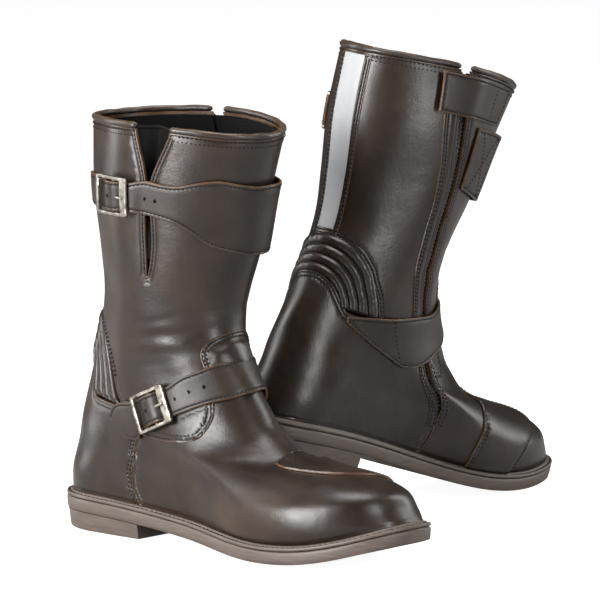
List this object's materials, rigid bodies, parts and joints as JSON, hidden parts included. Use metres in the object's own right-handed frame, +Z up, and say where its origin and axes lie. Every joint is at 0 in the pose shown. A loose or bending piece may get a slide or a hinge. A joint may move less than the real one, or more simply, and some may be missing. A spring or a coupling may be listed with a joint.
{
  "type": "riding boots",
  "caption": "Pair of leather motorcycle riding boots with an inner zip, buckled ankle and calf straps, a ribbed flex panel over the heel and a reflective back strip.",
  "frame": {"origin": "middle of the underside of the right boot's heel", "axes": "+X towards the toe of the right boot, +Y towards the wearer's left, +Z up"},
  "size_m": [0.3018, 0.4083, 0.3308],
  "materials": {
    "leather": "dark brown waxed leather, soft satin",
    "trim": "dark brown leather binding, satin",
    "sole": "grey-brown matt sole with a brushed edge",
    "lining": "black woven lining",
    "board": "raw leatherboard",
    "foam": "black covered foam",
    "steel": "plain spring steel",
    "nickel": "antique nickel, satin with darker hollows",
    "reflective": "grey retroreflective tape",
    "plastic": "black zip coil"
  },
  "bodies": {
    "right_boot": {"right_outsole": "sole", "right_heel_block": "sole", "right_welt": "sole", "right_insole_board": "board", "right_footbed": "foam", "right_shank": "steel", "right_heel_counter": "board", "right_vamp": "leather", "right_heel_quarter": "leather", "right_shaft_front": "leather", "right_shaft_rear": "leather", "right_flex_panel": "leather", "right_reflective_strip": "reflective", "right_collar_piping": "trim", "right_lining": "lining", "right_gusset": "trim", "right_shift_guard": "leather", "right_instep_pad": "leather", "right_ankle_strap": "leather", "right_ankle_chape": "trim", "right_ankle_buckle": "nickel", "right_calf_strap": "leather", "right_calf_chape": "trim", "right_calf_buckle": "nickel", "right_zip_coil": "plastic"},
    "right_ankle_prong": {"right_ankle_prong": "nickel"},
    "right_calf_prong": {"right_calf_prong": "nickel"},
    "right_zip_slider": {"right_zip_slider": "nickel"},
    "right_zip_pull": {"right_zip_pull": "nickel"},
    "right_closure_tab": {"right_closure_tab": "leather"},
    "left_boot": {"left_outsole": "sole", "left_heel_block": "sole", "left_welt": "sole", "left_insole_board": "board", "left_footbed": "foam", "left_shank": "steel", "left_heel_counter": "board", "left_vamp": "leather", "left_heel_quarter": "leather", "left_shaft_front": "leather", "left_shaft_rear": "leather", "left_flex_panel": "leather", "left_reflective_strip": "reflective", "left_collar_piping": "trim", "left_lining": "lining", "left_gusset": "trim", "left_shift_guard": "leather", "left_instep_pad": "leather", "left_ankle_strap": "leather", "left_ankle_chape": "trim", "left_ankle_buckle": "nickel", "left_calf_strap": "leather", "left_calf_chape": "trim", "left_calf_buckle": "nickel", "left_zip_coil": "plastic"},
    "left_ankle_prong": {"left_ankle_prong": "nickel"},
    "left_calf_prong": {"left_calf_prong": "nickel"},
    "left_zip_slider": {"left_zip_slider": "nickel"},
    "left_zip_pull": {"left_zip_pull": "nickel"},
    "left_closure_tab": {"left_closure_tab": "leather"}
  },
  "joints": [
    {"name": "right_ankle_prong_swing", "type": "hinge", "parent": "right_boot", "child": "right_ankle_prong", "pos_m": [0.06485, -0.03998, 0.09332], "axis": [0.4183, -0.0308, -0.9078], "range_deg": [0, 15]},
    {"name": "right_calf_prong_swing", "type": "hinge", "parent": "right_boot", "child": "right_calf_prong", "pos_m": [0.04554, -0.05698, 0.23941], "axis": [-0.0353, 0.0728, -0.9967], "range_deg": [0, 15]},
    {"name": "right_zip_slide", "type": "slide", "parent": "right_boot", "child": "right_zip_slider", "axis": [0.1761, -0.0531, -0.9829], "range_m": [0, 0.1]},
    {"name": "right_zip_pull_swing", "type": "hinge", "parent": "right_zip_slider", "child": "right_zip_pull", "pos_m": [0.04344, 0.05695, 0.27126], "axis": [0.9653, 0.2049, 0.1619], "range_deg": [0, 8]},
    {"name": "right_closure_tab_fold", "type": "hinge", "parent": "right_boot", "child": "right_closure_tab", "pos_m": [0.09427, 0.04668, 0.26688], "axis": [-0.2101, -0.0293, -0.9773], "range_deg": [0, 100]},
    {"name": "left_boot_lift", "type": "slide", "parent": "right_boot", "child": "left_boot", "axis": [0, 0.6, 0.8], "range_m": [0, 0.4]},
    {"name": "left_ankle_prong_swing", "type": "hinge", "parent": "left_boot", "child": "left_ankle_prong", "pos_m": [0.03866, 0.17048, 0.12598], "axis": [0.1076, -0.2017, 0.9735], "range_deg": [0, 15]},
    {"name": "left_calf_prong_swing", "type": "hinge", "parent": "left_boot", "child": "left_calf_prong", "pos_m": [0.03351, 0.18493, 0.27352], "axis": [0.0059, 0.261, 0.9653], "range_deg": [0, 15]},
    {"name": "left_zip_slide", "type": "slide", "parent": "left_boot", "child": "left_zip_slider", "axis": [-0.1329, -0.0511, -0.9898], "range_m": [0, 0.1]},
    {"name": "left_zip_pull_swing", "type": "hinge", "parent": "left_zip_slider", "child": "left_zip_pull", "pos_m": [0.14962, 0.18938, 0.29582], "axis": [-0.2056, -0.9755, 0.078], "range_deg": [0, 8]},
    {"name": "left_closure_tab_fold", "type": "hinge", "parent": "left_boot", "child": "left_closure_tab", "pos_m": [0.13844, 0.23796, 0.28087], "axis": [0.104, 0.4261, 0.8987], "range_deg": [0, 100]}
  ]
}
